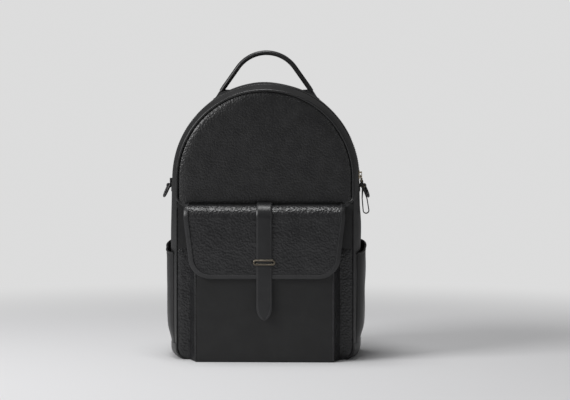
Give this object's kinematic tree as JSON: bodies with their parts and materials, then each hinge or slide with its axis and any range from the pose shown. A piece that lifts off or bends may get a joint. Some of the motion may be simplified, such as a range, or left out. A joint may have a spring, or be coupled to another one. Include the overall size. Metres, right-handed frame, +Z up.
{
  "type": "backpack",
  "caption": "Arched leather backpack with a round-the-arch zipper, buckle-strap flap pocket, side pockets, carry handle, side rings and padded shoulder straps.",
  "frame": {"origin": "on the floor under the middle of the whole width and depth", "axes": "+X to the viewer's right when the pocket is in front, -Y towards the front (the flap pocket), +Z up"},
  "size_m": [0.3108, 0.2301, 0.457],
  "materials": {
    "grained_leather": "pebbled, semi-matt",
    "smooth_leather": "smooth, satin",
    "piping": "smooth, satin",
    "zip_tape": "woven, matt",
    "zip_metal": "satin antique brass",
    "keeper_metal": "dark antique brass",
    "ring_metal": "black satin",
    "snap_metal": "satin",
    "pad_mesh": "knitted mesh over foam, matt",
    "webbing": "woven, matt",
    "board": "matt",
    "sleeve": "padded lining fabric, matt"
  },
  "bodies": {
    "shell": {"front_panel_foot": "grained_leather", "front_piping_foot": "piping", "rear_gusset": "smooth_leather", "rear_piping": "piping", "side_panel_left": "smooth_leather", "side_panel_right": "smooth_leather", "front_band": "smooth_leather", "lower_front_panel": "grained_leather", "base_panel": "smooth_leather", "base_board": "board", "back_panel": "smooth_leather", "back_board": "board", "back_pads": "pad_mesh", "zip_tape_rear": "zip_tape", "zip_teeth_rear": "zip_metal", "zip_stops": "zip_metal", "zip_end_patches": "smooth_leather", "pocket_front": "smooth_leather", "pocket_gusset_left": "grained_leather", "pocket_gusset_right": "grained_leather", "pocket_base": "smooth_leather", "flap_root": "grained_leather", "strap_root": "smooth_leather", "snap_socket": "snap_metal", "handle_tab_left": "smooth_leather", "handle_tab_right": "smooth_leather", "side_pocket_left": "smooth_leather", "side_pocket_right": "smooth_leather", "ring_tab_left": "smooth_leather", "ring_tab_right": "smooth_leather", "strap_yoke": "smooth_leather", "lower_anchor_left": "smooth_leather", "lower_anchor_right": "smooth_leather", "laptop_sleeve": "sleeve"},
    "lid": {"front_panel": "grained_leather", "front_piping": "piping", "front_gusset": "smooth_leather", "zip_tape_front": "zip_tape", "zip_teeth_front": "zip_metal"},
    "slider": {"zip_slider": "zip_metal"},
    "pull": {"pull_ring": "zip_metal", "pull_loop": "smooth_leather", "pull_rivet": "zip_metal"},
    "flap": {"flap": "grained_leather", "strap": "smooth_leather", "strap_keeper": "keeper_metal", "snap_stud": "snap_metal"},
    "tongue": {"strap_tongue": "smooth_leather"},
    "handle": {"handle": "smooth_leather"},
    "ring_left": {"side_ring_left": "ring_metal"},
    "ring_right": {"side_ring_right": "ring_metal"},
    "shoulder_left": {"shoulder_strap_left": "grained_leather", "strap_buckle_left": "keeper_metal", "webbing_left": "webbing"},
    "shoulder_right": {"shoulder_strap_right": "grained_leather", "strap_buckle_right": "keeper_metal", "webbing_right": "webbing"},
    "tail_keeper_left": {"tail_keeper_left": "smooth_leather"},
    "tail_keeper_right": {"tail_keeper_right": "smooth_leather"}
  },
  "joints": [
    {"name": "lid_fold", "type": "hinge", "parent": "shell", "child": "lid", "pos_m": [0, -0.07593, 0.2585], "axis": [1, 0, 0], "range_deg": [0, 80]},
    {"name": "zip_travel", "type": "hinge", "parent": "shell", "child": "slider", "pos_m": [0, -0.02303, 0.2665], "axis": [0, -1, 0], "range_deg": [0, 176]},
    {"name": "pull_swing", "type": "hinge", "parent": "slider", "child": "pull", "pos_m": [0.1412, -0.02303, 0.27047], "axis": [0, -1, 0], "range_deg": [0, 140]},
    {"name": "flap_open", "type": "hinge", "parent": "shell", "child": "flap", "pos_m": [0, -0.08603, 0.23225], "axis": [1, 0, 0], "range_deg": [-130, 0]},
    {"name": "tongue_lift", "type": "hinge", "parent": "flap", "child": "tongue", "pos_m": [0, -0.11268, 0.14195], "axis": [1, 0, 0], "range_deg": [-70, 0]},
    {"name": "handle_tilt", "type": "hinge", "parent": "shell", "child": "handle", "pos_m": [0, 0.01397, 0.40044], "axis": [1, 0, 0], "range_deg": [-30, 30], "stiffness_Nm_per_rad": 0.2},
    {"name": "ring_left_swing", "type": "hinge", "parent": "shell", "child": "ring_left", "pos_m": [-0.14606, -0.00303, 0.2545], "axis": [-0.1736, 0.9848, 0], "range_deg": [-20, 100]},
    {"name": "ring_right_swing", "type": "hinge", "parent": "shell", "child": "ring_right", "pos_m": [0.14606, -0.00303, 0.2545], "axis": [-0.1736, -0.9848, 0], "range_deg": [-20, 100]},
    {"name": "shoulder_left_swing", "type": "hinge", "parent": "shell", "child": "shoulder_left", "pos_m": [-0.03306, 0.07499, 0.3785], "axis": [-0.2234, -0.0085, -0.9747], "range_deg": [-20, 20]},
    {"name": "shoulder_right_swing", "type": "hinge", "parent": "shell", "child": "shoulder_right", "pos_m": [0.03306, 0.07499, 0.3785], "axis": [0.2234, -0.0085, -0.9747], "range_deg": [-20, 20]},
    {"name": "tail_keeper_left_slide", "type": "slide", "parent": "shoulder_left", "child": "tail_keeper_left", "axis": [-0.1369, -0.1825, -0.9736], "range_m": [-0.014, 0.03]},
    {"name": "tail_keeper_right_slide", "type": "slide", "parent": "shoulder_right", "child": "tail_keeper_right", "axis": [0.1369, -0.1825, -0.9736], "range_m": [-0.014, 0.03]}
  ]
}
